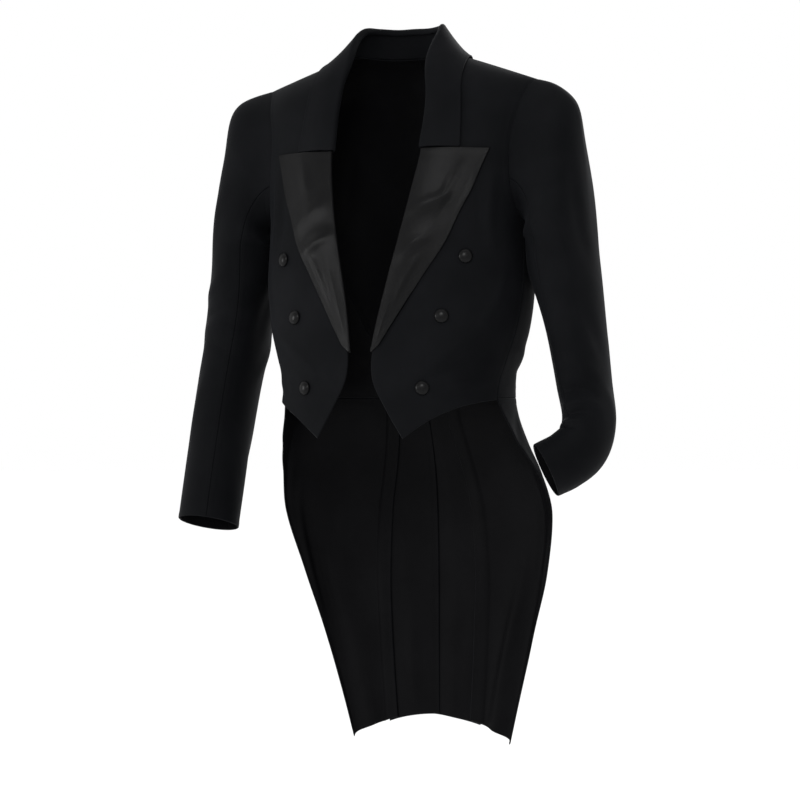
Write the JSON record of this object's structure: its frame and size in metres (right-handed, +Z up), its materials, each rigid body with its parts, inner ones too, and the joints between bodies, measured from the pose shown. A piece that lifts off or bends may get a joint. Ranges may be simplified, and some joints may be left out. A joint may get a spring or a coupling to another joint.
{
  "type": "white tie tailcoat",
  "caption": "Black white tie tailcoat in its worn shape: cutaway fronts with satin peaked lapels, two-piece sleeves, one bent in, and long tails behind.",
  "frame": {"origin": "middle of the neck opening, at the level where the shoulders carry the coat", "axes": "+Z up, the coat faces -Y, its own left side is +X"},
  "size_m": [0.6794, 0.273, 1.0853],
  "materials": {
    "black_wool": "fine black worsted wool",
    "black_satin": "black silk satin",
    "covered_button": "cloth stretched over a domed mould"
  },
  "bodies": {
    "root": {"collar_stand": "black_wool", "collar_fall": "black_wool", "front_right": "black_wool", "front_left": "black_wool", "side_body_right": "black_wool", "side_body_left": "black_wool", "back_right": "black_wool", "back_left": "black_wool", "skirt_right": "black_wool", "skirt_left": "black_wool", "lapel_right": "black_satin", "lapel_left": "black_satin", "top_sleeve_right": "black_wool", "top_sleeve_left": "black_wool", "under_sleeve_right": "black_wool", "under_sleeve_left": "black_wool", "front_button_right_1": "covered_button", "front_button_right_2": "covered_button", "front_button_right_3": "covered_button", "front_button_left_1": "covered_button", "front_button_left_2": "covered_button", "front_button_left_3": "covered_button", "waist_button_right": "covered_button", "waist_button_left": "covered_button", "cuff_button_right_1": "covered_button", "cuff_button_right_2": "covered_button", "cuff_button_right_3": "covered_button", "cuff_button_left_1": "covered_button", "cuff_button_left_2": "covered_button", "cuff_button_left_3": "covered_button"}
  },
  "joints": []
}
